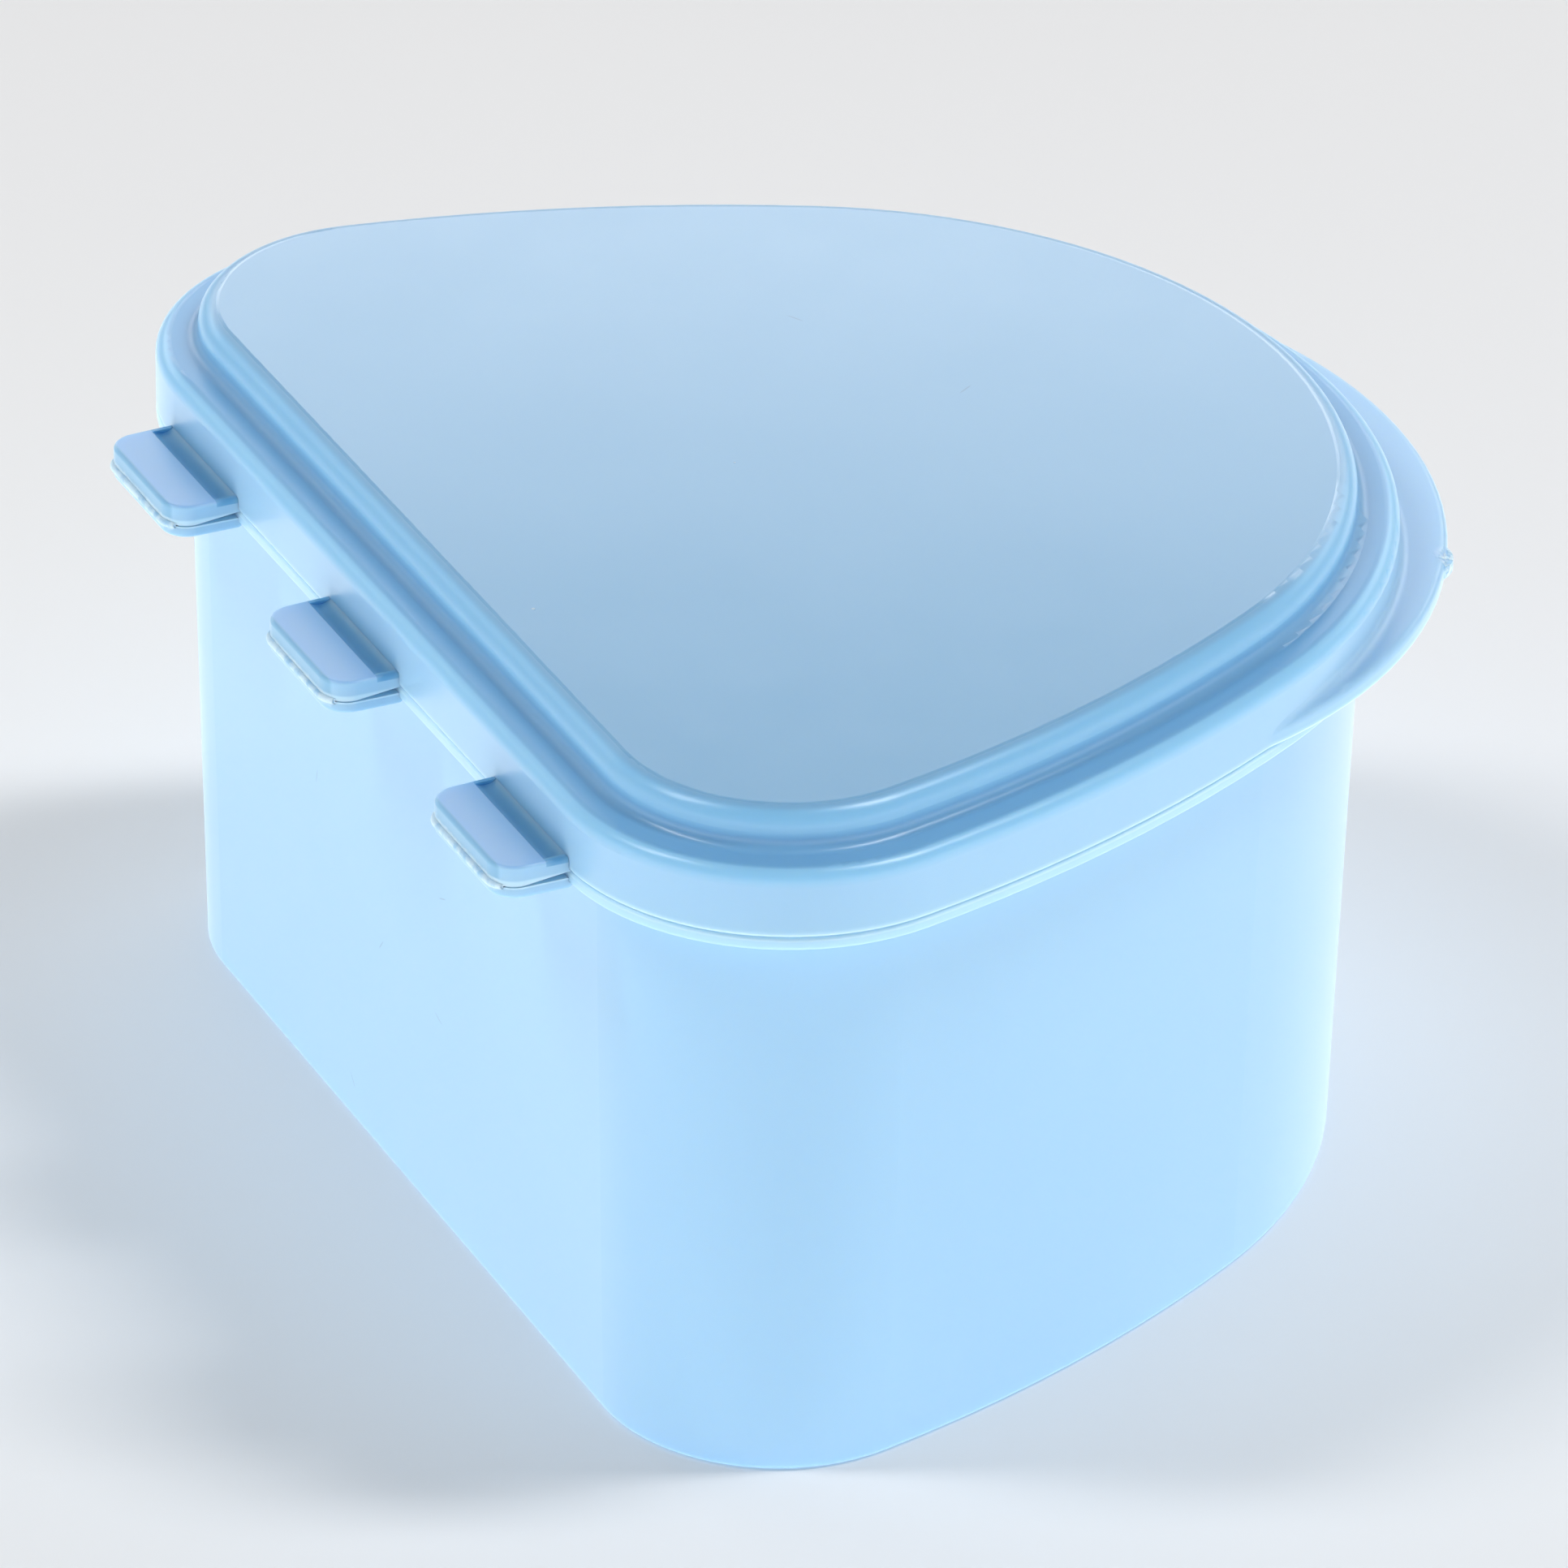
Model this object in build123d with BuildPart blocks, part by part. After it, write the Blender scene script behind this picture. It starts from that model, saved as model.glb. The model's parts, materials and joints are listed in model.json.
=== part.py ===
"""Denture case: a one-shot moulded box whose lid swings on three living hinges.

Frame: millimetres, +Z up, the case stands on z = 0 with its lid shut. The straight hinge
edge faces +Y, the rounded nose with the thumb lip faces -Y, and X runs along the hinge.
The origin is the middle of the case's overall length and width, on the table.
"""
from build123d import *
import os
from math import atan2, cos, degrees, hypot, radians, sin, tan

# ---- plan of the rim: straight back, rounded back corners, bowed sides, round nose ----
rim_width = 90.0
rim_depth = 69.2
back_corner_radius = 15.0
side_radius = 108.2
nose_radius = 38.5

# ---- tub ----
tub_height = 40.55           # table to the parting face that the lid closes on
tub_wall = 1.5
tub_floor = 1.8
wall_draft = 1.2             # degrees, the tub narrows towards its base
flange_reach = 2.2           # how far the flange stands out from the tub wall
flange_thickness = 0.9
flange_edge_radius = 0.3
base_edge_radius = 0.4
inner_floor_radius = 2.5
foot_width = 3.0             # rim that the base stands on, round a shallow recess
foot_recess = 0.5
upstand_height = 2.2         # lip of the tub wall that plugs into the lid
mouth_chamfer = 0.35
bead_reach = 0.5             # snap bead round the upstand
bead_height = 1.1
bead_chamfer = 0.35
bead_drop = 0.4              # below the top of the upstand

# ---- lid ----
lid_wall = 1.4
skirt_height = 4.6           # parting face to the flat ledge
skirt_foot_radius = 0.3      # also round the underside of the thumb lip
shoulder_radius = 1.05
ledge_width = 1.0
cove_radius = 0.75
crown_rise = 2.55            # flat ledge to the flat top
crown_edge_radius = 1.4
inner_edge_chamfer = 0.6

# ---- thumb lip on the lid's nose ----
lip_radius = 36.6
lip_reach = 3.85             # in front of the nose
lip_thickness = 1.35
lip_edge_radius = 0.5
lip_root_radius = 0.7
gate_angle = 32.7            # degrees round the lip from -Y towards -X
gate_radius = 2.5
gate_reach = 0.45
gate_height = 0.7

# ---- living hinges: a leaf on the lid, a leaf on the tub, and a thin film that folds ----
hinge_pitch = 25.2
leaf_root_width = 11.1
leaf_reach = 4.65
leaf_taper = 1.5             # degrees, each side of a leaf draws in towards the fold
leaf_corner_radius = 1.8
leaf_root_thickness = 1.0    # of the lid's leaf, which starts level with the parting face
lid_leaf_edge_radius = 0.25
trough_reach = 1.5           # shallow trough in the lid's leaf, where it meets the skirt
trough_depth = 0.25
trough_rim = 0.5             # the trough stops this far short of the leaf's sides
tub_leaf_thickness = 0.85
tub_leaf_edge_radius = 0.35
fold_drop = 0.4              # the leaves close on each other below the parting face
leaf_clearance = 0.1         # between the two leaves when the lid is shut
leaf_land = 1.65             # outer length of the lid's leaf that lies flat above the tub's
film_thickness = 0.26
film_radius = 0.15           # of the fold, at the middle of the film
film_leg = 0.03              # fold line beyond the leaves' ends

# ---- derived places ----
half_width = rim_width / 2
leaf_end_width = leaf_root_width - 2 * leaf_reach * tan(radians(leaf_taper))
film_width = leaf_end_width - 2 * leaf_corner_radius
hinge_reach = leaf_reach + film_leg + film_radius + film_thickness / 2
back_y = (rim_depth + lip_reach - hinge_reach) / 2
leaf_end_y = back_y + leaf_reach
parting_z = tub_height
flange_z = parting_z - flange_thickness
upstand_z = parting_z + upstand_height
bead_z = upstand_z - bead_drop - bead_height
ledge_z = parting_z + skirt_height
top_z = ledge_z + crown_rise
slope = tan(radians(wall_draft))
base_inset = flange_reach + flange_z * slope
cavity_inset = base_inset + tub_wall - tub_floor * slope
mouth_inset = cavity_inset - (upstand_z - tub_floor) * slope
crown_inset = shoulder_radius + ledge_width + cove_radius
fold_y = leaf_end_y + film_leg
fold_z = parting_z - fold_drop
lid_leaf_top = parting_z + leaf_root_thickness
lid_leaf_foot = fold_z + leaf_clearance / 2
tub_leaf_top = fold_z - leaf_clearance / 2
tub_leaf_foot = tub_leaf_top - tub_leaf_thickness
trough_radius = ((trough_reach / 2) ** 2 + trough_depth**2) / (2 * trough_depth)
trough_y = back_y + trough_reach / 2
trough_z = lid_leaf_top + trough_radius - trough_depth
trough_width = leaf_root_width - 2 * trough_rim
hinge_x = {"left": -hinge_pitch, "middle": 0.0, "right": hinge_pitch}
pick_margin = 0.01           # how near a line an edge has to lie to be picked by it


def outer_centre(first, first_radius, second, second_radius):
    """Point on the -X side at two given distances from two centres."""
    dx = second[0] - first[0]
    dy = second[1] - first[1]
    span = hypot(dx, dy)
    along = (first_radius**2 - second_radius**2 + span**2) / (2 * span)
    across = (first_radius**2 - along**2) ** 0.5
    return (
        first[0] + (along * dx + across * dy) / span,
        first[1] + (along * dy - across * dx) / span,
    )


def direction(start, end):
    """Angle in degrees of the line from one point to another."""
    return degrees(atan2(end[1] - start[1], end[0] - start[0]))


# centres of the +X half of the rim's arcs, each tangent to the next
corner_centre = (half_width - back_corner_radius, back_y - back_corner_radius)
nose_centre = (0.0, back_y - rim_depth + nose_radius)
lip_centre = (0.0, back_y - rim_depth - lip_reach + lip_radius)
side_centre = outer_centre(
    corner_centre, side_radius - back_corner_radius, nose_centre, side_radius - nose_radius
)
corner_angle = direction(side_centre, corner_centre)
nose_angle = direction(side_centre, nose_centre)
side_sweep = nose_angle - corner_angle


def rim_outline(inset):
    """Closed plan of the rim, moved inwards by an inset: five arcs and the straight back."""
    corner = back_corner_radius - inset
    side = side_radius - inset
    nose = nose_radius - inset
    left_corner_centre = (-corner_centre[0], corner_centre[1])
    left_side_centre = (-side_centre[0], side_centre[1])
    with BuildSketch() as plan:
        with BuildLine():
            Line((-corner_centre[0], back_y - inset), (corner_centre[0], back_y - inset))
            CenterArc(corner_centre, corner, 90, corner_angle - 90)
            CenterArc(side_centre, side, corner_angle, side_sweep)
            CenterArc(nose_centre, nose, nose_angle, -180 - 2 * nose_angle)
            CenterArc(left_side_centre, side, 180 - nose_angle, side_sweep)
            CenterArc(left_corner_centre, corner, 180 - corner_angle, corner_angle - 90)
        make_face()
    return plan.sketch


def rim_edges(solid, inset, height):
    """Edges of a solid that follow the rim's plan at one inset and one height."""
    path = rim_outline(inset).wire().moved(Location((0, 0, height)))
    return solid.edges().filter_by(lambda edge: path.distance_to(edge @ 0.5) < pick_margin)


def lip_edges(solid, height):
    """Edges of a solid that follow the outer arc of the thumb lip at one height."""
    path = Edge.make_circle(lip_radius, Plane((*lip_centre, height)))
    return solid.edges().filter_by(lambda edge: path.distance_to(edge @ 0.5) < pick_margin)


def free_edges(solid, height, start_y):
    """Edges of a leaf at one height that lie further out than a given Y."""
    level = solid.edges().filter_by(lambda edge: abs((edge @ 0.5).Z - height) < pick_margin)
    return level.filter_by(lambda edge: (edge @ 0.5).Y > start_y + pick_margin)


def leaf_outline(x, root_y):
    """Plan of a hinge leaf from its root to its end: drawn-in sides, rounded outer corners."""
    root = leaf_root_width / 2 + (back_y - root_y) * tan(radians(leaf_taper))
    end = leaf_end_width / 2
    with BuildSketch() as plan:
        with BuildLine():
            Polyline(
                (x - root, root_y), (x - end, leaf_end_y), (x + end, leaf_end_y), (x + root, root_y),
                close=True,
            )
        make_face()
        fillet(plan.vertices().group_by(Axis.Y)[-1], leaf_corner_radius)
    return plan.sketch


os.makedirs("parts", exist_ok=True)

# ---- tub: drafted D-shaped cup, flange below the lid, upstand that plugs into it ----
with BuildPart() as tub:
    with BuildSketch():
        add(rim_outline(base_inset))
    extrude(amount=flange_z, taper=-wall_draft)
    fillet(rim_edges(tub, base_inset, 0), base_edge_radius)
    with BuildSketch(Plane.XY.offset(flange_z)):
        add(rim_outline(0))
    extrude(amount=flange_thickness)
    with BuildSketch(Plane.XY.offset(parting_z)):
        add(rim_outline(flange_reach))
    extrude(amount=upstand_height)
    for height in (flange_z, parting_z):
        fillet(rim_edges(tub, 0, height), flange_edge_radius)
    with BuildSketch(Plane.XY.offset(bead_z)):
        add(rim_outline(flange_reach - bead_reach))
    extrude(amount=bead_height)
    for height in (bead_z, bead_z + bead_height):
        chamfer(rim_edges(tub, flange_reach - bead_reach, height), bead_chamfer)
    # the hollow follows the drafted walls up to the mouth
    with BuildSketch(Plane.XY.offset(tub_floor)):
        add(rim_outline(cavity_inset))
    extrude(amount=upstand_z - tub_floor, taper=-wall_draft, mode=Mode.SUBTRACT)
    fillet(rim_edges(tub, cavity_inset, tub_floor), inner_floor_radius)
    for inset in (flange_reach, mouth_inset):
        chamfer(rim_edges(tub, inset, upstand_z), mouth_chamfer)
    # the base stands on a rim round a shallow recess
    with BuildSketch():
        add(rim_outline(base_inset + base_edge_radius + foot_width))
    extrude(amount=foot_recess, mode=Mode.SUBTRACT)
tub.part.label = "tub"
export_step(tub.part, "parts/tub.step")

# ---- lid: skirt, flat ledge and raised crown of even wall, thumb lip on its nose ----
with BuildPart() as lip:
    with BuildSketch(Plane.XY.offset(parting_z)):
        with Locations(lip_centre):
            Circle(lip_radius)
    extrude(amount=lip_thickness)
    # only the nose half of the disc makes the crescent
    split(bisect_by=Plane.XZ.offset(-nose_centre[1]))

with BuildPart() as lid:
    with BuildSketch(Plane.XY.offset(parting_z)):
        add(rim_outline(0))
    extrude(amount=skirt_height)
    add(lip.part)
    fillet(lip_edges(lid, parting_z + lip_thickness), lip_edge_radius)
    fillet(rim_edges(lid, 0, parting_z + lip_thickness), lip_root_radius)
    fillet(rim_edges(lid, 0, parting_z) + lip_edges(lid, parting_z), skirt_foot_radius)
    with BuildSketch(Plane.XY.offset(ledge_z)):
        add(rim_outline(crown_inset))
    extrude(amount=crown_rise)
    fillet(rim_edges(lid, crown_inset, ledge_z), cove_radius)
    fillet(rim_edges(lid, crown_inset, top_z), crown_edge_radius)
    fillet(rim_edges(lid, 0, ledge_z), shoulder_radius)
    # the moulding gate leaves a small nub on the lip's edge
    gate_distance = lip_radius + gate_reach - gate_radius
    gate_centre = (
        lip_centre[0] - gate_distance * sin(radians(gate_angle)),
        lip_centre[1] - gate_distance * cos(radians(gate_angle)),
    )
    with BuildSketch(Plane.XY.offset(parting_z + (lip_thickness - gate_height) / 2)):
        with Locations(gate_centre):
            Circle(gate_radius)
    extrude(amount=gate_height)
    # hollow: skirt and ledge first, then the crown
    with BuildSketch(Plane.XY.offset(parting_z)):
        add(rim_outline(lid_wall))
    extrude(amount=skirt_height - lid_wall, mode=Mode.SUBTRACT)
    with BuildSketch(Plane.XY.offset(ledge_z - lid_wall)):
        add(rim_outline(crown_inset + lid_wall))
    extrude(amount=crown_rise, mode=Mode.SUBTRACT)
    chamfer(rim_edges(lid, crown_inset + lid_wall, top_z - lid_wall), inner_edge_chamfer)
    chamfer(rim_edges(lid, lid_wall, ledge_z - lid_wall), inner_edge_chamfer)
lid.part.label = "lid"
export_step(lid.part, "parts/lid.step")

# ---- living hinges ----
lid_root_y = back_y - skirt_foot_radius
tub_root_y = back_y - flange_edge_radius
for side, x in hinge_x.items():
    section_plane = Plane.YZ.offset(x)

    # lid's leaf: flat pad with a trough along the skirt, thickening from below towards its
    # end; its root fills the rounding at the skirt's foot
    with BuildPart() as lid_leaf:
        with BuildSketch(section_plane):
            with BuildLine():
                RadiusArc(
                    (back_y, parting_z + skirt_foot_radius),
                    (lid_root_y, parting_z),
                    skirt_foot_radius,
                )
                Polyline(
                    (lid_root_y, parting_z),
                    (back_y, parting_z),
                    (leaf_end_y - leaf_land, lid_leaf_foot),
                    (leaf_end_y, lid_leaf_foot),
                    (leaf_end_y, lid_leaf_top),
                    (back_y, lid_leaf_top),
                    (back_y, parting_z + skirt_foot_radius),
                )
            make_face()
        extrude(amount=leaf_root_width, both=True)
        with BuildSketch(Plane.XY.offset(lid_leaf_foot)):
            add(leaf_outline(x, lid_root_y))
        extrude(amount=lid_leaf_top - lid_leaf_foot, mode=Mode.INTERSECT)
        fillet(free_edges(lid_leaf, lid_leaf_top, back_y), lid_leaf_edge_radius)
        with BuildSketch(section_plane):
            with Locations((trough_y, trough_z)):
                Circle(trough_radius)
        extrude(amount=trough_width / 2, both=True, mode=Mode.SUBTRACT)
    lid_leaf.part.label = f"lid_leaf_{side}"
    export_step(lid_leaf.part, f"parts/lid_leaf_{side}.step")

    # tub's leaf: flat slab that hangs a little below the flange it grows from
    with BuildPart() as tub_leaf:
        with BuildSketch(section_plane):
            with BuildLine():
                Polyline(
                    (tub_root_y, flange_z),
                    (back_y, tub_leaf_foot),
                    (leaf_end_y, tub_leaf_foot),
                    (leaf_end_y, tub_leaf_top),
                    (back_y, tub_leaf_top),
                    (back_y, flange_z + flange_edge_radius),
                )
                RadiusArc(
                    (back_y, flange_z + flange_edge_radius),
                    (tub_root_y, flange_z),
                    flange_edge_radius,
                )
            make_face()
        extrude(amount=leaf_root_width, both=True)
        with BuildSketch(Plane.XY.offset(tub_leaf_foot)):
            add(leaf_outline(x, tub_root_y))
        extrude(amount=tub_leaf_thickness, mode=Mode.INTERSECT)
        fillet(free_edges(tub_leaf, tub_leaf_foot, back_y), tub_leaf_edge_radius)
    tub_leaf.part.label = f"tub_leaf_{side}"
    export_step(tub_leaf.part, f"parts/tub_leaf_{side}.step")

    # film: thin web folded round the hinge line, from one leaf's end to the other's
    with BuildPart() as film:
        with BuildSketch(section_plane):
            with BuildLine():
                Line((leaf_end_y, fold_z + film_radius), (fold_y, fold_z + film_radius))
                CenterArc((fold_y, fold_z), film_radius, 90, -180)
                Line((fold_y, fold_z - film_radius), (leaf_end_y, fold_z - film_radius))
            trace(line_width=film_thickness)
        extrude(amount=film_width / 2, both=True)
    film.part.label = f"hinge_film_{side}"
    export_step(film.part, f"parts/hinge_film_{side}.step")
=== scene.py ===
"""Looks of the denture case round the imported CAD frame: camera, polypropylene, hinge films, studio.

Everything is in metres, in the frame of the CAD. Object coordinates equal CAD coordinates,
because every node's object sits at the origin, so materials can be placed by real distances.
"""
import bpy
import json
import math
import random
from mathutils import Matrix, Vector


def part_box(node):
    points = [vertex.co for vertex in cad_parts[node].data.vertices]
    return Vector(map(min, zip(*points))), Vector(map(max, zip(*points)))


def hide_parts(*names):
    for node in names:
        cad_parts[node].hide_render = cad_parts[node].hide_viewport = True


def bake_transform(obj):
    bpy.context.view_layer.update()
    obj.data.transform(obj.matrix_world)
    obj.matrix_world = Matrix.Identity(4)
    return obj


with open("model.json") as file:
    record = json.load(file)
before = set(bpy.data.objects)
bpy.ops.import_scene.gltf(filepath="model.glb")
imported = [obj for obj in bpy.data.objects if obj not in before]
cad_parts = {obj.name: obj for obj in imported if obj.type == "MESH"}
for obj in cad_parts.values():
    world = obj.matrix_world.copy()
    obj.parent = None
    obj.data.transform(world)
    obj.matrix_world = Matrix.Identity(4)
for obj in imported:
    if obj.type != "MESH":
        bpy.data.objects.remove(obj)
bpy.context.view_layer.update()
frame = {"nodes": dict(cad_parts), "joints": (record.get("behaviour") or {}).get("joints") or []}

# ---- places read from the frame ----
SIDES = ("left", "middle", "right")
LID_LEAF = {side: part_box(f"lid_leaf_{side}") for side in SIDES}
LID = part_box("lid")
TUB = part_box("tub")
JOINT = frame["joints"][0]
FOLD_Y = JOINT["pos_m"][1]
FOLD_Z = JOINT["pos_m"][2]
PARTING_Z = LID[0].z
TOP_Z = LID[1].z
BACK_Y = TUB[1].y
HINGE_PITCH = (LID_LEAF["right"][0].x - LID_LEAF["left"][0].x) / 2
LEAF_HALF = (LID_LEAF["middle"][1].x - LID_LEAF["middle"][0].x) / 2
MM = 0.001


# ---------------------------------------------------------------- camera
IMAGE_SIZE = 1932
CAMERA_AZIMUTH = 243.554     # degrees round +Z from -Y
CAMERA_ELEVATION = 29.988
CAMERA_ROLL = 0.997
CAMERA_DISTANCE = 748.524 * MM
FOCAL_PIXELS = 14437.702
SENSOR = 36.0
CAMERA_TARGET = Vector((-10.201 * MM, BACK_Y - 24.844 * MM, 30.0 * MM))


def spot(azimuth, elevation):
    """Unit vector at an azimuth round +Z from -Y and an elevation, in degrees."""
    a = math.radians(azimuth)
    e = math.radians(elevation)
    return Vector((math.sin(a) * math.cos(e), -math.cos(a) * math.cos(e), math.sin(e)))


def add_camera():
    back = spot(CAMERA_AZIMUTH, CAMERA_ELEVATION)
    a = math.radians(CAMERA_AZIMUTH)
    level = Vector((math.cos(a), math.sin(a), 0))
    upright = level.cross(-back)
    roll = math.radians(CAMERA_ROLL)
    right = math.cos(roll) * level + math.sin(roll) * upright
    up = -math.sin(roll) * level + math.cos(roll) * upright
    place = CAMERA_TARGET + CAMERA_DISTANCE * back
    data = bpy.data.cameras.new("camera")
    data.sensor_width = SENSOR
    data.sensor_fit = "HORIZONTAL"
    data.lens = FOCAL_PIXELS * SENSOR / IMAGE_SIZE
    data.clip_start = 0.05
    camera = bpy.data.objects.new("camera", data)
    bpy.context.scene.collection.objects.link(camera)
    camera.matrix_world = Matrix(
        [(right[i], up[i], back[i], place[i]) for i in range(3)] + [(0, 0, 0, 1)]
    )
    bpy.context.scene.camera = camera


# ---------------------------------------------------------------- materials
def srgb(red, green, blue):
    """Linear RGBA of an 8-bit sRGB colour."""
    def linear(value):
        value /= 255
        return value / 12.92 if value <= 0.04045 else ((value + 0.055) / 1.055) ** 2.4
    return (linear(red), linear(green), linear(blue), 1.0)


# The real moulding is one blue. Its tones differ by region here, to stand for shading and
# reflections in the photo that this studio doesn't give by itself.
WALL_BLUE = srgb(153, 196, 228)
SHOULDER_BLUE = srgb(140, 196, 232)
COVE_BLUE = srgb(114, 170, 213)
CROWN_BLUE = srgb(129, 186, 224)
TOP_BLUE = srgb(125, 173, 209)
TROUGH_SHADE = srgb(98, 160, 204)
LEAF_TOP_SHADE = srgb(142, 184, 226)
LEAF_END_SHADE = srgb(120, 172, 206)
CLOUD_TINT = (0.965, 0.975, 0.985, 1.0)
# whitening of the torn gate and of the folded hinge; near the fold also painted light over shade
WHITENING_AND_PAINTED_LIGHT = srgb(212, 232, 244)
FILM_WHITE = srgb(198, 224, 241)
DUST = srgb(206, 220, 230)
FIBRE = srgb(104, 132, 158)
# painted highlight on edge lines and painted light over the shade in gaps between parts
PAINTED_EDGE_LIGHT = srgb(186, 224, 250)

# waves per metre of the plastic's patterns, and how high each stands
CLOUD_SCALE = 60.0
SHEEN_SCALE = 240.0
GRAIN_SCALE = 2200.0
CLOUD_RELIEF = 0.012 * MM
GRAIN_RELIEF = 0.0003 * MM
SPECK_RELIEF = 0.02 * MM
TORN_RELIEF = 0.10 * MM

PLASTIC_IOR = 1.49
# roughness from 0.25 to 0.30 makes map-like patches in the denoised render
PLAIN_ROUGHNESS = 0.285      # walls and edges
SHEEN_ROUGHNESS = 0.04       # added where the sheen is dullest
TOP_POLISH = 0.165           # taken off on the flat top
SPECK_ROUGHNESS = 0.3        # added on dust

SPECK_SCALE = 210.0          # cells per metre that may hold a fine dust speck
SPECK_LOT = (0.95, 0.955)    # only cells with a lot above this hold one
SPECK_REACH = (0.012, 0.030)  # in cells
FIBRE_RADIUS = 0.07 * MM

# the same for the folded film
FILM_CLOUD_SCALE = 900.0
FILM_CREASE_SCALE = (900.0, 9000.0, 9000.0)
FILM_CREASE_RELIEF = 0.012 * MM


def heights(*offsets):
    """Heights in metres from offsets in millimetres to the parting face."""
    return tuple(PARTING_Z + offset * MM for offset in offsets)


class Nodes:
    """Short way to build the node tree of a material or of the world."""

    def __init__(self, owner, output="ShaderNodeOutputMaterial"):
        owner.use_nodes = True
        self.tree = owner.node_tree
        self.tree.nodes.clear()
        self.output = self.tree.nodes.new(output)

    def add(self, kind, inputs=None, **settings):
        node = self.tree.nodes.new(kind)
        for key, value in settings.items():
            setattr(node, key, value)
        for key, value in (inputs or {}).items():
            self.put(node.inputs[key], value)
        return node

    def put(self, socket, value):
        if isinstance(value, bpy.types.NodeSocket):
            self.tree.links.new(value, socket)
        else:
            socket.default_value = value

    def math(self, operation, *values):
        node = self.add("ShaderNodeMath", operation=operation)
        for socket, value in zip(node.inputs, values):
            self.put(socket, value)
        return node.outputs[0]

    def choose(self, share, first, second):
        """First shader where the share is 0, second where it is 1."""
        node = self.add("ShaderNodeMixShader", {0: share, 1: first, 2: second})
        return node.outputs[0]

    def ramp(self, value, low, high):
        """0 below low, 1 above high, smooth between."""
        node = self.add("ShaderNodeMapRange", interpolation_type="SMOOTHSTEP", clamp=True)
        self.put(node.inputs["Value"], value)
        node.inputs["From Min"].default_value = low
        node.inputs["From Max"].default_value = high
        return node.outputs["Result"]

    def fall(self, value, low, high):
        """1 below low, 0 above high, smooth between."""
        return self.math("SUBTRACT", 1.0, self.ramp(value, low, high))

    def band(self, value, bottom, low, high, top):
        """1 between low and high, 0 below bottom and above top."""
        return self.product(self.ramp(value, bottom, low), self.fall(value, high, top))

    def product(self, first, *others):
        for other in others:
            first = self.math("MULTIPLY", first, other)
        return first

    def mix(self, share, first, second, blend="MIX"):
        node = self.add("ShaderNodeMix", data_type="RGBA", blend_type=blend)
        self.put(node.inputs["Factor"], share)
        self.put(node.inputs[6], first)
        self.put(node.inputs[7], second)
        return node.outputs[2]

    def noise(self, place, scale, detail=2.0, roughness=0.5):
        return self.add(
            "ShaderNodeTexNoise",
            {"Vector": place, "Scale": scale, "Detail": detail, "Roughness": roughness},
        ).outputs["Fac"]

    def axes(self, place):
        """X, Y and Z of a place."""
        return tuple(self.add("ShaderNodeSeparateXYZ", {"Vector": place}).outputs)

    def finish(self, height, inputs):
        """Close the tree with a principled plastic whose relief follows a height in metres."""
        bump = self.add("ShaderNodeBump", {"Height": height, "Distance": 1.0, "Strength": 1.0})
        shader = self.add("ShaderNodeBsdfPrincipled", {"IOR": PLASTIC_IOR, **inputs})
        self.put(shader.inputs["Normal"], bump.outputs["Normal"])
        self.put(self.output.inputs["Surface"], shader.outputs[0])


def fleck(nodes, place, centre, size, turn=(0.0, 0.0, 0.0)):
    """1 inside a small ellipsoid at a place on the case, 0 outside, in metres and radians."""
    local = nodes.add(
        "ShaderNodeMapping",
        {"Vector": place, "Location": centre, "Rotation": turn, "Scale": size},
        vector_type="TEXTURE",
    ).outputs["Vector"]
    reach = nodes.add("ShaderNodeVectorMath", {"Vector": local}, operation="LENGTH")
    return nodes.fall(reach.outputs["Value"], 0.55, 1.0)


def fold_distance(nodes, place):
    """Distance in metres from the turning line of the hinge."""
    flat = nodes.add(
        "ShaderNodeMapping",
        {"Vector": place, "Location": (0.0, FOLD_Y, FOLD_Z), "Scale": (1.0e6, 1.0, 1.0)},
        vector_type="TEXTURE",
    ).outputs["Vector"]
    return nodes.add("ShaderNodeVectorMath", {"Vector": flat}, operation="LENGTH").outputs["Value"]


def dust_mask(nodes, place, dust):
    """A few fine dust specks over the whole case, and the larger ones at their own places."""
    cell = nodes.add("ShaderNodeTexVoronoi", {"Vector": place, "Scale": SPECK_SCALE}, feature="F1")
    lot = nodes.add("ShaderNodeSeparateColor", {"Color": cell.outputs["Color"]}).outputs[0]
    near = nodes.fall(cell.outputs["Distance"], *SPECK_REACH)
    mask = nodes.product(nodes.ramp(lot, *SPECK_LOT), near, 0.5)
    for centre, radius in dust:
        mask = nodes.math("MAXIMUM", mask, fleck(nodes, place, centre, (radius, radius, radius)))
    return mask


def fibre_mask(nodes, place, fibres):
    """1 on the lint fibres that lie on the case."""
    mask = 0.0
    for centre, half_length, turn in fibres:
        size = (half_length, FIBRE_RADIUS, FIBRE_RADIUS)
        mask = nodes.math("MAXIMUM", mask, fleck(nodes, place, centre, size, turn))
    return mask


def shade_leaf_roots(nodes, place, colour):
    """Painted shade: darken the skirt where the leaves' troughs meet it."""
    x, y, z = nodes.axes(place)
    across = nodes.math("PINGPONG", x, HINGE_PITCH / 2)
    side = nodes.fall(across, LEAF_HALF - 0.9 * MM, LEAF_HALF)
    fade = nodes.fall(z, *heights(0.7, 2.5))
    outside = nodes.ramp(y, BACK_Y - 0.4 * MM, BACK_Y - 0.1 * MM)
    above = nodes.ramp(z, *heights(0.8, 1.0))
    return nodes.mix(nodes.product(side, fade, outside, above, 0.75), colour, TROUGH_SHADE)


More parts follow.
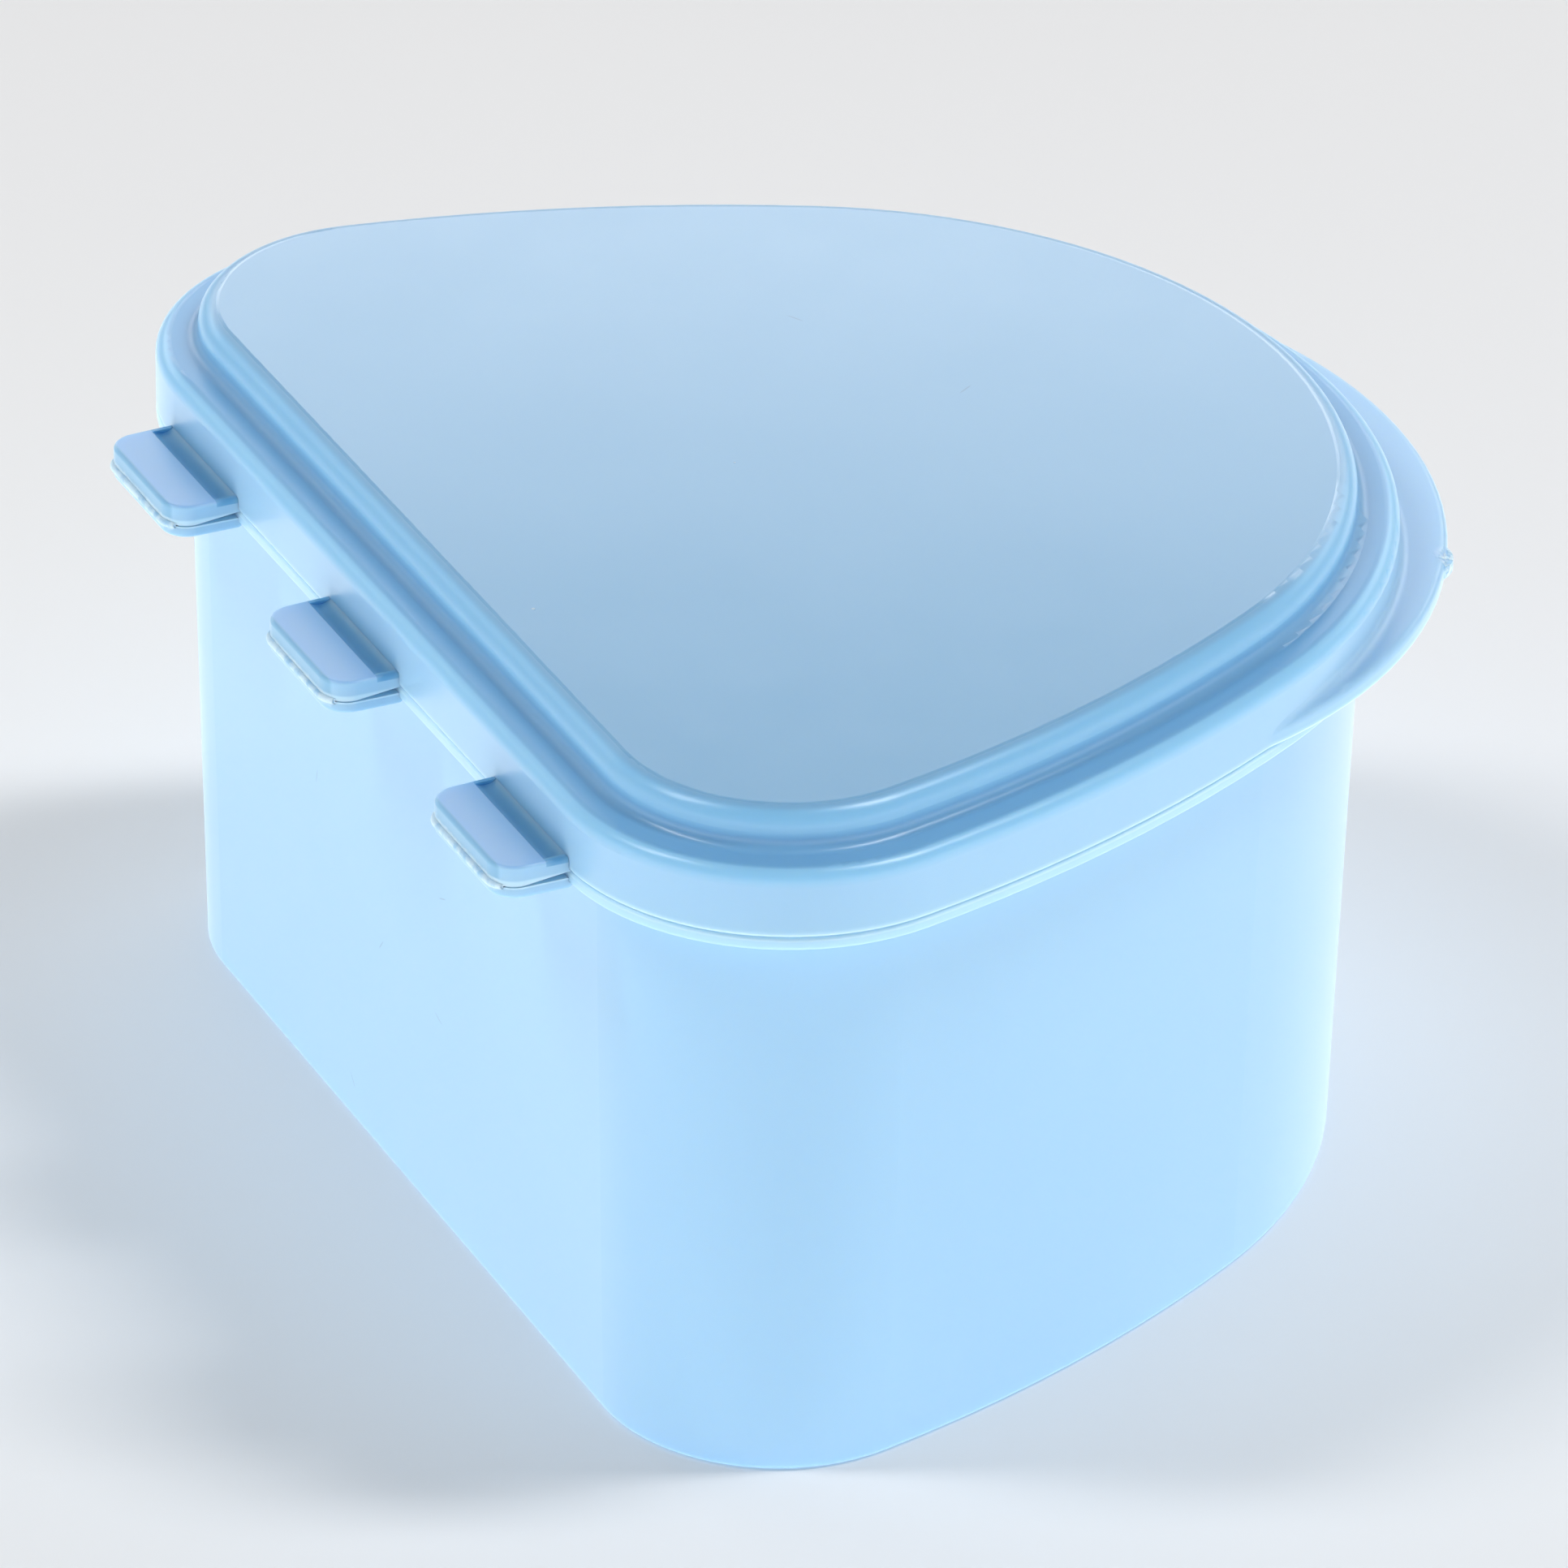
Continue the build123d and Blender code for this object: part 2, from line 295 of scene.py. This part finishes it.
def shade_leaf(nodes, place, colour, grain):
    """Tones of a hinge leaf: painted shade on top, end and trough; near the fold, whitening and
    painted light.
    """
    _, y, z = nodes.axes(place)
    # painted shade on the leaf's flat top
    colour = nodes.mix(nodes.ramp(z, *heights(0.85, 0.98)), colour, LEAF_TOP_SHADE)
    # painted shade on the leaf's end beside the fold
    outermost = nodes.ramp(y, FOLD_Y - 0.45 * MM, FOLD_Y - 0.25 * MM)
    end = nodes.product(outermost, nodes.ramp(z, *heights(0.0, 0.15)), 0.8)
    colour = nodes.mix(end, colour, LEAF_END_SHADE)

    # painted shade in the trough next to the skirt
    trough = nodes.band(
        y, BACK_Y - 1.2 * MM, BACK_Y + 0.6 * MM, BACK_Y + 0.9 * MM, BACK_Y + 2.4 * MM
    )
    bank = nodes.fall(y, BACK_Y + 1.46 * MM, BACK_Y + 1.52 * MM)
    above = nodes.product(bank, nodes.ramp(z, *heights(0.6, 0.7)))
    colour = nodes.mix(nodes.product(trough, above), colour, TROUGH_SHADE)

    # white near the fold: the film's real whitening, and painted light over the shade by the film
    reach = nodes.math("ADD", fold_distance(nodes, place), nodes.product(grain, 0.5 * MM))
    pale = nodes.fall(reach, 0.42 * MM, 0.80 * MM)
    return nodes.mix(nodes.product(pale, 0.7), colour, WHITENING_AND_PAINTED_LIGHT)


def polypropylene(name, shades, dust=(), fibres=(), painted_light_bands=(), root_shade=False, flexed_and_shaded=False,
                  gate=None):
    """Satin light blue polypropylene with a soft mould texture, dust specks and fibres.

    Shades is the lowest colour and then, going up, two heights and the colour above them; on
    the lid these bands are painted shade and painted reflection. Each entry of thin lists heights,
    as four corners of a trapezoid and a strength, of a band of painted highlight and painted light
    over shade, along edge lines and in the gaps between parts. With root_shade, the skirt gets
    painted shade at the leaves' roots, and with flexed, the plastic has the tones of a hinge leaf.
    A gate is the place where the moulding was cut off its runner, torn and whitened.
    """
    material = bpy.data.materials.new(name)
    nodes = Nodes(material)
    place = nodes.add("ShaderNodeTexCoord").outputs["Object"]
    z = nodes.axes(place)[2]
    cloud = nodes.noise(place, CLOUD_SCALE, detail=0.0)
    sheen = nodes.noise(place, SHEEN_SCALE, detail=1.0)
    grain = nodes.noise(place, GRAIN_SCALE, detail=1.0)
    flat_top = nodes.ramp(z, TOP_Z - 0.03 * MM, TOP_Z - 0.002 * MM)
    speck = dust_mask(nodes, place, dust)

    colour = shades[0]
    for low, high, above in shades[1:]:
        colour = nodes.mix(nodes.ramp(z, low, high), colour, above)
    colour = nodes.mix(cloud, colour, CLOUD_TINT, blend="MULTIPLY")
    colour = nodes.mix(nodes.product(speck, 0.55), colour, DUST)
    if fibres:
        strand = fibre_mask(nodes, place, fibres)
        colour = nodes.mix(nodes.product(strand, 0.35), colour, FIBRE)
    # bands of painted highlight and painted light over shade at the parting, flange and leaf gap
    for corners, strength in painted_light_bands:
        colour = nodes.mix(nodes.product(nodes.band(z, *corners), strength), colour, PAINTED_EDGE_LIGHT)
    if root_shade:
        colour = shade_leaf_roots(nodes, place, colour)
    if flexed_and_shaded:
        colour = shade_leaf(nodes, place, colour, grain)

    roughness = nodes.math("ADD", nodes.product(sheen, SHEEN_ROUGHNESS), PLAIN_ROUGHNESS)
    roughness = nodes.math("SUBTRACT", roughness, nodes.product(flat_top, TOP_POLISH))
    roughness = nodes.math("ADD", roughness, nodes.product(speck, SPECK_ROUGHNESS))

    height = nodes.math(
        "ADD", nodes.product(grain, GRAIN_RELIEF), nodes.product(cloud, CLOUD_RELIEF)
    )
    height = nodes.math("ADD", height, nodes.product(speck, SPECK_RELIEF))
    if gate:
        torn = fleck(nodes, place, gate, (1.9 * MM, 1.9 * MM, 1.0 * MM))
        torn = nodes.product(torn, nodes.ramp(grain, 0.36, 0.60))
        colour = nodes.mix(nodes.product(torn, 0.85), colour, WHITENING_AND_PAINTED_LIGHT)
        height = nodes.math("ADD", height, nodes.product(torn, TORN_RELIEF))

    nodes.finish(
        height,
        {
            "Base Color": colour,
            "Roughness": roughness,
            "Subsurface Weight": 0.40,
            "Subsurface Radius": (0.6, 0.9, 1.2),
            "Subsurface Scale": 1.5 * MM,
        },
    )
    return material


def film_plastic():
    """Polypropylene that folding has whitened: cloudy, matt, with fine creases along the fold."""
    material = bpy.data.materials.new("hinge_film")
    nodes = Nodes(material)
    place = nodes.add("ShaderNodeTexCoord").outputs["Object"]
    cloud = nodes.noise(place, FILM_CLOUD_SCALE, detail=3.0, roughness=0.6)
    creases = nodes.add("ShaderNodeMapping", {"Vector": place, "Scale": FILM_CREASE_SCALE})
    height = nodes.product(nodes.noise(creases.outputs["Vector"], 1.0), FILM_CREASE_RELIEF)
    nodes.finish(
        height,
        {
            "Base Color": nodes.mix(nodes.ramp(cloud, 0.32, 0.58), WALL_BLUE, FILM_WHITE),
            "Roughness": nodes.math("ADD", nodes.product(cloud, 0.2), 0.50),
            "Specular IOR Level": 0.35,
            "Subsurface Weight": 0.30,
            "Subsurface Radius": (0.8, 0.9, 1.0),
            "Subsurface Scale": 0.4 * MM,
        },
    )
    return material


def dress(thing, material):
    thing.data.materials.clear()
    thing.data.materials.append(material)


# ---------------------------------------------------------------- hinge films
FILM_STEPS = 72              # along the fold
FILM_TURN_STEPS = 14         # round the fold
FILM_SKIN = 0.25 * MM        # outer radius of the folded film
FILM_BORE = 0.03 * MM        # inner radius
FILM_END_FADE = 1.3 * MM     # the film wraps a little way round the leaves' corners
FILM_TUCK = 0.30 * MM        # how far its two edges run into the leaves
FILM_END_SKIN = 0.80         # share of its thickness that is left at the film's two ends
FILM_END_REACH = 0.5 * MM    # over which it thickens from there
FILM_WAVES = 6               # slow waves along the fold
FILM_WANDER = 0.030 * MM     # how far they move the film and its thickness
FILM_FRAY = 0.008 * MM       # fine unevenness from one step to the next
CORNER_RADIUS = 1.8 * MM     # of the leaves
LEAF_DRAW_IN = 0.12 * MM     # a leaf is this much narrower, each side, at the fold than at its root


def corner_setback(x, half):
    """How far a leaf's rounded corner has drawn back at a distance x from the leaf's middle."""
    over = abs(x) - (half - CORNER_RADIUS)
    if over <= 0:
        return 0.0
    over = min(over, CORNER_RADIUS)
    return CORNER_RADIUS - math.sqrt(CORNER_RADIUS**2 - over**2)


def film_section(centre_y, skin, shift):
    """Y and Z round one C section of the film: its outer arc, then its inner arc back."""
    section = []
    for outer in (True, False):
        radius = skin if outer else FILM_BORE
        for j in range(FILM_TURN_STEPS + 1):
            k = j if outer else FILM_TURN_STEPS - j
            turn = math.radians(90 - 180 * k / FILM_TURN_STEPS)
            y = centre_y + radius * math.cos(turn)
            z = FOLD_Z + radius * math.sin(turn) + shift
            if k in (0, FILM_TURN_STEPS):
                y -= FILM_TUCK
            section.append((y, z))
    return section


def hinge_film(side, draw):
    """Folded web from one leaf's end to the other's: a C section swept along the hinge line."""
    low, high = LID_LEAF[side]
    middle = (low.x + high.x) / 2
    leaf_half = (high.x - low.x) / 2 - LEAF_DRAW_IN
    half = leaf_half - CORNER_RADIUS + FILM_END_FADE
    vertices = []
    swell = [draw.uniform(-1, 1) for _ in range(2 * FILM_WAVES)]
    for i in range(FILM_STEPS + 1):
        t = i / FILM_STEPS
        x = -half + 2 * half * t
        wander = sum(
            swell[k] * math.sin((k + 2) * math.pi * t + 5 * swell[-k - 1]) / (k + 2)
            for k in range(FILM_WAVES)
        )
        fray = draw.uniform(-1, 1)
        end = min(1.0, min(t, 1 - t) * 2 * half / FILM_END_REACH)
        share = FILM_END_SKIN + (1 - FILM_END_SKIN) * math.sqrt(end)
        skin = FILM_SKIN * share + FILM_WANDER * wander + FILM_FRAY * fray
        centre_y = FOLD_Y - corner_setback(x, leaf_half)
        for y, z in film_section(centre_y, skin, FILM_WANDER * wander):
            vertices.append((middle + x, y, z))

    ring = 2 * (FILM_TURN_STEPS + 1)
    last = FILM_STEPS * ring
    faces = []
    for start in range(0, last, ring):
        for j in range(ring):
            a = start + j
            b = start + (j + 1) % ring
            faces.append((a, b, b + ring, a + ring))
    faces.append(tuple(range(ring)))
    faces.append(tuple(last + j for j in reversed(range(ring))))
    mesh = bpy.data.meshes.new(f"folded_film_{side}")
    mesh.from_pydata(vertices, [], faces)
    mesh.validate()
    for polygon in mesh.polygons:
        polygon.use_smooth = True
    film = bpy.data.objects.new(f"folded_film_{side}", mesh)
    bpy.context.scene.collection.objects.link(film)
    return film


# ---------------------------------------------------------------- studio
FLOOR_TONE = srgb(240, 241, 242)
FLOOR_CLOUD = srgb(238, 239, 241)
FLOOR_REACH = 3.0
TABLE_GLOW = 0.70            # radiance the floor adds for every ray but the camera's
TABLE_WHITE = (1.0, 0.99, 0.98, 1.0)
SKY_WHITE = (1.0, 0.985, 0.97, 1.0)
SKY_SEEN = (0.78, 0.79, 0.81, 1.0)  # what the camera sees past the floor
SKY_OVERHEAD = 0.05          # radiance straight up
SKY_AROUND = 0.50            # added all round, fading out between these elevations in degrees
AROUND_FADE = (42, 18)
SKY_FRONT = 2.0              # added low down on the camera's side
FRONT_FADE = (20, 6)
FRONT_TURN = (-0.6, 0.3)     # cosine of the turn from the camera's side where it comes in
SKY_BACK = 4.2               # added in a band behind the case, where its top mirrors it
BACK_RISE = (10, 24)
BACK_FADE = (29.7, 27)
BACK_TURN = (-0.35, -0.8)
SOFTBOX_DISTANCE = 0.75
SOFTBOX_WIDTH = 0.09
SOFTBOX_HEIGHT = 0.27
SOFTBOX_AIM = Vector((0, 0, 45 * MM))


def add_floor():
    material = bpy.data.materials.new("floor")
    nodes = Nodes(material)
    place = nodes.add("ShaderNodeTexCoord").outputs["Object"]
    cloud = nodes.ramp(nodes.noise(place, 6.0), 0.2, 0.8)
    plain = nodes.add(
        "ShaderNodeBsdfPrincipled",
        {
            "Base Color": nodes.mix(cloud, FLOOR_TONE, FLOOR_CLOUD),
            "Roughness": 0.9,
            "Specular IOR Level": 0.2,
        },
    ).outputs[0]
    # a light table: it lights the case from below, the camera sees its plain surface
    lit = nodes.add("ShaderNodeEmission", {"Color": TABLE_WHITE, "Strength": TABLE_GLOW})
    both = nodes.add("ShaderNodeAddShader", {0: plain, 1: lit.outputs[0]}).outputs[0]
    seen = nodes.add("ShaderNodeLightPath").outputs["Is Camera Ray"]
    nodes.put(nodes.output.inputs["Surface"], nodes.choose(seen, both, plain))
    mesh = bpy.data.meshes.new("floor")
    r = FLOOR_REACH
    mesh.from_pydata([(-r, -r, 0), (r, -r, 0), (r, r, 0), (-r, r, 0)], [], [(0, 1, 2, 3)])
    floor = bpy.data.objects.new("floor", mesh)
    bpy.context.scene.collection.objects.link(floor)
    dress(floor, material)


def add_world():
    """Studio surround: dim overhead, bright low down on the camera's side, a glow behind."""
    world = bpy.data.worlds.new("studio")
    bpy.context.scene.world = world
    nodes = Nodes(world, "ShaderNodeOutputWorld")
    place = nodes.add("ShaderNodeTexCoord").outputs["Generated"]
    height = nodes.axes(place)[2]
    front = nodes.add(
        "ShaderNodeVectorMath", {0: place, 1: spot(CAMERA_AZIMUTH, 0)}, operation="DOT_PRODUCT"
    ).outputs["Value"]

    def climb(elevations):
        """0 below the first elevation, 1 above the second, or the other way if it is lower."""
        return nodes.ramp(height, *(math.sin(math.radians(angle)) for angle in elevations))

    low = nodes.product(climb(FRONT_FADE), nodes.ramp(front, *FRONT_TURN))
    glow = nodes.product(climb(BACK_RISE), climb(BACK_FADE), nodes.ramp(front, *BACK_TURN))
    level = nodes.math("MULTIPLY_ADD", climb(AROUND_FADE), SKY_AROUND, SKY_OVERHEAD)
    level = nodes.math("MULTIPLY_ADD", low, SKY_FRONT, level)
    level = nodes.math("MULTIPLY_ADD", glow, SKY_BACK, level)

    light = nodes.add("ShaderNodeBackground", {"Color": SKY_WHITE, "Strength": level}).outputs[0]
    seen = nodes.add("ShaderNodeBackground", {"Color": SKY_SEEN, "Strength": 1.0}).outputs[0]
    camera_ray = nodes.add("ShaderNodeLightPath").outputs["Is Camera Ray"]
    nodes.put(nodes.output.inputs["Surface"], nodes.choose(camera_ray, light, seen))


def add_softbox(name, azimuth, elevation, radiance):
    """Flat lamp that faces the case; its power follows from its size and radiance."""
    data = bpy.data.lights.new(name, "AREA")
    data.shape = "RECTANGLE"
    data.size = SOFTBOX_WIDTH
    data.size_y = SOFTBOX_HEIGHT
    data.energy = radiance * math.pi * SOFTBOX_WIDTH * SOFTBOX_HEIGHT
    lamp = bpy.data.objects.new(name, data)
    bpy.context.scene.collection.objects.link(lamp)
    direction = spot(azimuth, elevation)
    lamp.location = SOFTBOX_AIM + SOFTBOX_DISTANCE * direction
    lamp.rotation_euler = direction.to_track_quat("Z", "Y").to_euler()
    lamp.visible_camera = False


# ---------------------------------------------------------------- marks seen on the case
# places in millimetres; those on the lid's top count Y from the hinge edge
LID_DUST_MARKS = (                       # x, y, radius
    (-11.5, -6.5, 0.16), (-18.4, -62.9, 0.13), (-9.9, -64.8, 0.12), (0.6, -26.3, 0.10),
)
LID_FIBRE_MARKS = ((16.8, -38.5, 0.5), (3.4, -44.2, 2.1))  # x, y, turn in radians
TUB_FIBRE_MARKS = (                      # x, y, z, turn in radians
    (-6.6, 31.54, 25.0, 0.4), (13.1, 31.51, 23.7, 1.3), (8.5, 31.08, 3.0, 2.2),
    (3.3, 31.35, 16.2, 0.9), (-5.6, 31.34, 15.5, 2.8),
)
LID_FIBRE_HALF = 0.8 * MM                # half a fibre's length
TUB_FIBRE_HALF = 0.7 * MM
LID_DUST = [
    (Vector((x * MM, BACK_Y + y * MM, TOP_Z)), radius * MM) for x, y, radius in LID_DUST_MARKS
]
LID_FIBRES = [
    (Vector((x * MM, BACK_Y + y * MM, TOP_Z)), LID_FIBRE_HALF, (0.0, 0.0, turn))
    for x, y, turn in LID_FIBRE_MARKS
]
TUB_FIBRES = [
    (Vector((x * MM, y * MM, z * MM)), TUB_FIBRE_HALF, (0.0, turn, 0.0))
    for x, y, z, turn in TUB_FIBRE_MARKS
]
GATE_ANGLE = math.radians(32.7)          # round the lip's centre, from -Y towards -X
GATE_DISTANCE = 37.0 * MM                # from the lip's centre
LIP_CENTRE_Y = BACK_Y - 36.45 * MM
GATE = Vector((
    -GATE_DISTANCE * math.sin(GATE_ANGLE),
    LIP_CENTRE_Y - GATE_DISTANCE * math.cos(GATE_ANGLE),
    PARTING_Z + 0.7 * MM,
))


def main():
    add_camera()
    lid_plastic = polypropylene(
        "lid_plastic",
        shades=[
            # painted shade and painted reflection: tone bands by height on the lid's one blue
            WALL_BLUE, (*heights(3.4, 4.2), SHOULDER_BLUE), (*heights(4.5, 4.6), COVE_BLUE),
            (*heights(5.2, 5.8), CROWN_BLUE), (*heights(6.9, 7.13), TOP_BLUE),
        ],
        dust=LID_DUST, fibres=LID_FIBRES, gate=GATE, root_shade=True,
        painted_light_bands=[(heights(-0.2, -0.1, 0.15, 0.55), 0.6), (heights(-0.2, -0.1, 0.18, 0.3), 1.0)],
    )
    tub_plastic = polypropylene(
        "tub_plastic", shades=[WALL_BLUE], fibres=TUB_FIBRES,
        painted_light_bands=[(heights(-1.4, -0.85, -0.1, 0.1), 0.45), (heights(-0.3, -0.18, 0.0, 0.1), 1.0)],
    )
    leaf_plastic = polypropylene(
        "leaf_plastic", shades=[WALL_BLUE], flexed_and_shaded=True, painted_light_bands=[(heights(-0.6, -0.5, -0.1, 0.1), 0.9)]
    )
    film_material = film_plastic()
    for name, node in frame["nodes"].items():
        if "leaf" in name:
            dress(node, leaf_plastic)
        else:
            dress(node, lid_plastic if name == "lid" else tub_plastic)
    draw = random.Random(7)
    for side in SIDES:
        film = hinge_film(side, draw)
        dress(film, film_material)
        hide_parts(f"hinge_film_{side}")
        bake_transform(film)

    add_floor()
    add_world()
    add_softbox("softbox_left", 161, 56, radiance=22.0)
    add_softbox("softbox_right", 333, 63, radiance=32.0)
    bpy.context.scene.view_settings.view_transform = "Standard"


main()
